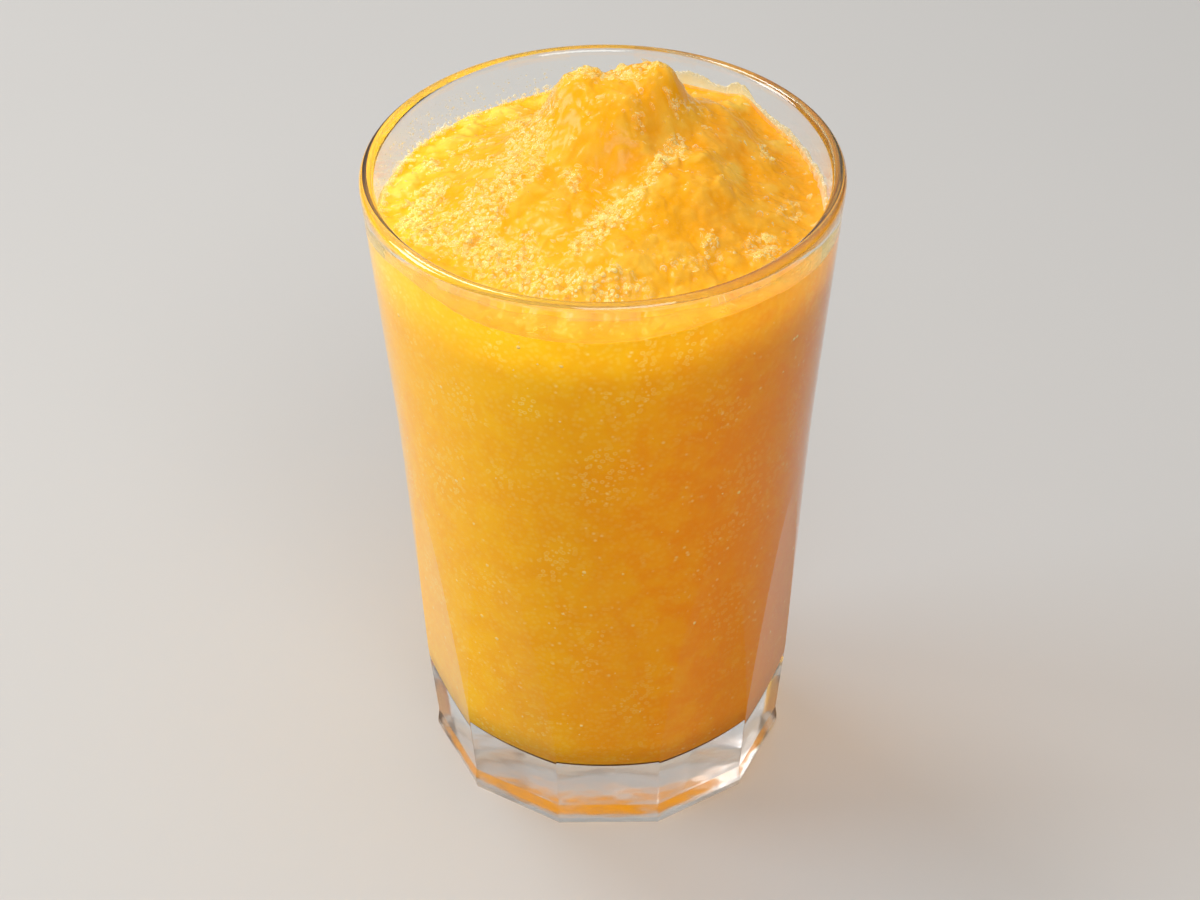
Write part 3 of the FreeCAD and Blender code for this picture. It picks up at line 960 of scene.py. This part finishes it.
def ice_mesh(name, count, sizes, shapes, tilt, stray):
    """One mesh of many bits of ice laid where the heap is icy, and a few anywhere."""
    ball, ball_faces = unit_ball(1)
    vertices, faces = [], []
    laid = 0
    while laid < count:
        x, y, radius = random_place(SHORE_RADIUS)
        if radius > SHORE_RADIUS - CLEAR_OF_WALL or iciness(x, y) + stray < draw.uniform(0.0, 1.0):
            continue
        laid += 1
        size = sizes[0] + (sizes[1] - sizes[0]) * draw.random() ** 3
        shape = Vector([draw.uniform(*limits) for limits in shapes]) * size
        turn = Euler((draw.uniform(-tilt, tilt), draw.uniform(-tilt, tilt), draw.uniform(0.0, math.pi)))
        lean = top_normal(x, y).to_track_quat("Z", "Y").to_matrix() @ turn.to_matrix()
        seat = top_point(x, y) + top_normal(x, y) * shape.z * 0.2
        seed = Vector((laid * 3.7, 0.0, 0.0))
        first = len(vertices)
        for point in ball:
            dent = 1.0 + 0.9 * noise.noise(point * 1.9 + seed)
            bit = Vector((point.x * shape.x, point.y * shape.y, point.z * shape.z))
            vertices.append(seat + lean @ bit * dent)
        faces += [tuple(first + k for k in face) for face in ball_faces]
    return mesh_object(name, vertices, faces, smooth=False)


ice_grains = ice_mesh("ice_grains", GRAIN_COUNT, GRAIN_SIZES, GRAIN_SHAPE, GRAIN_TILT, GRAIN_STRAY)
ice_grains.data.materials.append(wet_ice("stained_ice", GRAIN_RIM, ICE_BODY, 0.12, 0.85, 0.06))
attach(ice_grains, "root")

ice_flakes = ice_mesh("ice_flakes", FLAKE_COUNT, FLAKE_SIZES, FLAKE_SHAPE, FLAKE_TILT, FLAKE_STRAY)
ice_flakes.data.materials.append(wet_ice("flake_ice", FLAKE_RIM, ICE_BODY, 0.08, 0.80, 0.05))
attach(ice_flakes, "root")

# ==== Froth and bubbles ====
# Small bubbles of juice: a chain of them along the contact line at the back left, where the
# slush was poured in, single ones on the gel, and flat ones shut in between slush and glass.

# Radii in millimetres: the least, how much more the largest has, and how seldom that is.
FROTH_SIZES = (0.14, 0.32, 2)
BUBBLE_SIZES = (0.20, 0.50, 3)
SHUT_IN_SIZES = (0.10, 0.32, 3)
FROTH_COUNT = 520
FROTH_FROM = 96.0
FROTH_TO = 203.0
LOOSE_BUBBLES = 90
BUBBLE_REACH = 37.5 * MM
SHUT_IN_COUNT = 420
SHUT_IN_HEIGHTS = (16.0 * MM, 119.0 * MM)
SHUT_IN_THICK = 0.10 * MM
JUICE_TINT = (1.0, 0.93, 0.66)
BUBBLE_BODY = (1.0, 0.98, 0.92)
AIR_AMBER = (1.0, 0.62, 0.06)
AIR_PALE = (1.0, 0.86, 0.40)


def shore_height(bearing):
    """Height at which the slush meets the glass, at a bearing in radians."""
    x, y, _ = around(SHORE_RADIUS, bearing, 0.0)
    return top_point(x, y).z


def random_radius(least, more, seldom):
    """A random radius in metres, more often small than large."""
    return (least + more * draw.random() ** seldom) * MM


def joined_balls(name, seats, divisions):
    """One mesh of many small balls: each seat is a middle, three half axes and a dent."""
    ball, ball_faces = unit_ball(divisions)
    vertices, faces = [], []
    for number, (middle, (a, b, c), dent) in enumerate(seats):
        first = len(vertices)
        seed = Vector((number * 2.3, 1.0, 0.0))
        for point in ball:
            swell = 1.0 + dent * noise.noise(point * 1.4 + seed)
            vertices.append(middle + (a * point.x + b * point.y + c * point.z) * swell)
        faces += [tuple(first + k for k in face) for face in ball_faces]
    return mesh_object(name, vertices, faces)


def round_axes(radius):
    """Half axes of a round ball."""
    return Vector((radius, 0, 0)), Vector((0, radius, 0)), Vector((0, 0, radius))


def wall_axes(bearing, radius, thickness):
    """Half axes of a ball flattened against the wall."""
    out = Vector((math.cos(bearing), math.sin(bearing), 0.0))
    return out * thickness, Vector((-out.y, out.x, 0.0)) * radius, Vector((0, 0, radius))


froth_seats = []
for _ in range(FROTH_COUNT):
    bearing = math.radians(draw.uniform(FROTH_FROM, FROTH_TO))
    radius = random_radius(*FROTH_SIZES)
    height = shore_height(bearing) + (draw.random() ** 2 * 1.3 - 0.1) * MM
    reach = cavity_radius(height) - radius * 0.85 - draw.random() ** 2 * 0.8 * MM
    froth_seats.append((Vector(around(reach, bearing, height)), round_axes(radius), 0.0))
shore_froth = joined_balls("shore_froth", froth_seats, 2)
shore_froth.data.materials.append(wet_ice("froth", JUICE_TINT, BUBBLE_BODY, 0.10, 1.0, 0.03))
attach(shore_froth, "root")

bubble_seats = []
while len(bubble_seats) < LOOSE_BUBBLES:
    x, y, _ = random_place(BUBBLE_REACH)
    if painted_shade_at(x, y) * 0.8 + iciness(x, y) < draw.random():
        continue
    radius = random_radius(*BUBBLE_SIZES)
    bubble_seats.append((top_point(x, y) + Vector((0, 0, 0.25 * radius)), round_axes(radius), 0.0))
gel_bubbles = joined_balls("gel_bubbles", bubble_seats, 3)
gel_bubbles.data.materials.append(wet_ice("bubble_skin", JUICE_TINT, BUBBLE_BODY, 0.05, 0.9, 0.03))
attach(gel_bubbles, "root")

shut_in_seats = []
while len(shut_in_seats) < SHUT_IN_COUNT:
    bearing = draw.uniform(0.0, 2.0 * math.pi)
    height = draw.uniform(*SHUT_IN_HEIGHTS)
    likely = 0.35 + 0.65 * max(0.0, -math.cos(bearing))
    if draw.random() > likely or height > shore_height(bearing) - 0.6 * MM:
        continue
    radius = random_radius(*SHUT_IN_SIZES)
    middle = Vector(around(cavity_radius(height) + INTO_WALL - 0.02 * MM, bearing, height))
    shut_in_seats.append((middle, wall_axes(bearing, radius, SHUT_IN_THICK), 0.5))
shut_in_bubbles = joined_balls("shut_in_bubbles", shut_in_seats, 2)


def shut_in_material():
    """Air and ice against the glass, amber to pale."""
    material, tree = new_material("shut_in_air")
    tint = blend_colour(tree, add_noise(tree, object_place(tree), 400.0), AIR_AMBER, AIR_PALE)
    surface = surface_of(tree, tint, 0.15)
    return finished(material, surface)


shut_in_bubbles.data.materials.append(shut_in_material())
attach(shut_in_bubbles, "root")

# ==== Juice on the glass ====
# Fine drops that splashed on the bare wall at the left and back, a clear wavy film of juice and
# melting ice that clings to the wall at the back right, and a thin coat of juice at the front.

DROP_COUNT = 520
DROP_SIZES = (0.06, 0.17, 3)
DROP_BODY = (1.0, 0.97, 0.88)
FILM_FROM = -14.0
FILM_TO = 84.0
FILM_STEPS = 420
# Peaks of the film: bearing in degrees, rise, spread in degrees.
FILM_RISES = [(66.0, 2.3 * MM, 7.0), (52.0, 1.6 * MM, 4.0), (30.0, 0.9 * MM, 14.0), (8.0, 1.1 * MM, 9.0)]
FILM_RIM = (1.0, 0.94, 0.76)
FILM_BODY = (1.0, 0.95, 0.76)
SMEAR_FROM = -196.0
SMEAR_TO = 12.0
SMEAR_TOP = 2.2 * MM
SMEAR_THICK = 0.09 * MM
SMEAR_RIM = (1.0, 0.80, 0.28)
SMEAR_BODY = (1.0, 0.94, 0.62)
INTO_GLASS = 0.04 * MM
INTO_SLUSH = 0.3 * MM

drop_seats = []
while len(drop_seats) < DROP_COUNT:
    bearing = math.radians(draw.gauss(150.0, 34.0))
    low, high = shore_height(bearing) + 0.8 * MM, HEIGHT - 3.0 * MM
    height = low + (high - low) * draw.random() ** 1.4
    radius = random_radius(*DROP_SIZES)
    middle = Vector(around(cavity_radius(height) - 0.02 * MM, bearing, height))
    drop_seats.append((middle, wall_axes(bearing, radius, radius * 0.55), 0.2))
wall_drops = joined_balls("wall_drops", drop_seats, 2)
wall_drops.data.materials.append(wet_ice("juice_drops", JUICE_TINT, DROP_BODY, 0.10, 0.9, 0.05))
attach(wall_drops, "root")


def film_section(bearing, share):
    """Outline of the film at a bearing: (inset from the wall, height) from the slush up and back."""
    foot = shore_height(bearing)
    degrees = math.degrees(bearing)
    rise = 0.7 * MM + sum(height * bell(degrees - place, spread) for place, height, spread in FILM_RISES)
    slow = 0.55 * MM * noise.noise(Vector((degrees * 0.30, 0.0, 4.0)))
    quick = 0.3 * MM * noise.noise(Vector((degrees * 0.9, 3.0, 0.0)))
    taper = min(1.0, 9.0 * share, 9.0 * (1.0 - share))
    rise = max(0.12 * MM, (rise + (slow + quick)) * taper)
    thick = (0.55 + 0.25 * noise.noise(Vector((degrees * 0.5, 7.0, 0.0)))) * MM * (0.3 + 0.7 * taper)
    outline = [(1.5 * thick, -0.25 * MM), (1.05 * thick, 0.18 * rise), (0.85 * thick, 0.5 * rise),
               (0.95 * thick, 0.78 * rise), (0.70 * thick, 0.95 * rise), (0.25 * thick, rise),
               (-INTO_GLASS, 0.98 * rise), (-INTO_GLASS, -INTO_SLUSH)]
    return [(inset, foot + lift) for inset, lift in outline]


def smear_section(bearing, share):
    """Outline of the thin coat of juice that the front wall keeps between slush and lip."""
    foot = shore_height(bearing)
    degrees = math.degrees(bearing)
    full = LIP_CENTRE - SMEAR_TOP - foot + 0.5 * MM * noise.noise(Vector((degrees * 0.12, 1.0, 6.0)))
    rise = max(0.3 * MM, full * min(1.0, 5.0 * share, 5.0 * (1.0 - share)))
    outline = [(SMEAR_THICK * 2.0, -INTO_SLUSH), (SMEAR_THICK, 0.25 * rise), (SMEAR_THICK, 0.6 * rise),
               (SMEAR_THICK * 0.7, 0.97 * rise), (-INTO_GLASS, rise), (-INTO_GLASS, -INTO_SLUSH)]
    return [(inset, foot + lift) for inset, lift in outline]


def film_mesh(name, start, end, section_at):
    """A closed strip on the wall between two bearings in degrees, from its outline at each step."""
    vertices, faces = [], []
    for k in range(FILM_STEPS + 1):
        share = k / FILM_STEPS
        bearing = math.radians(start + (end - start) * share)
        section = section_at(bearing, share)
        vertices += [around(cavity_radius(height) - inset, bearing, height) for inset, height in section]
    count = len(section)
    for k in range(FILM_STEPS):
        for m in range(count):
            n = (m + 1) % count
            faces.append((k * count + m, k * count + n, (k + 1) * count + n, (k + 1) * count + m))
    faces.append(tuple(range(count))[::-1])
    faces.append(tuple(FILM_STEPS * count + m for m in range(count)))
    return mesh_object(name, vertices, faces)


wall_film = film_mesh("wall_film", FILM_FROM, FILM_TO, film_section)
wall_film.data.materials.append(wet_ice("juice_film", FILM_RIM, FILM_BODY, 0.25, 1.0, 0.05))
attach(wall_film, "root")

wall_smear = film_mesh("wall_smear", SMEAR_FROM, SMEAR_TO, smear_section)
wall_smear.data.materials.append(wet_ice("juice_smear", SMEAR_RIM, SMEAR_BODY, 0.06, 0.40, 0.06))
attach(wall_smear, "root")
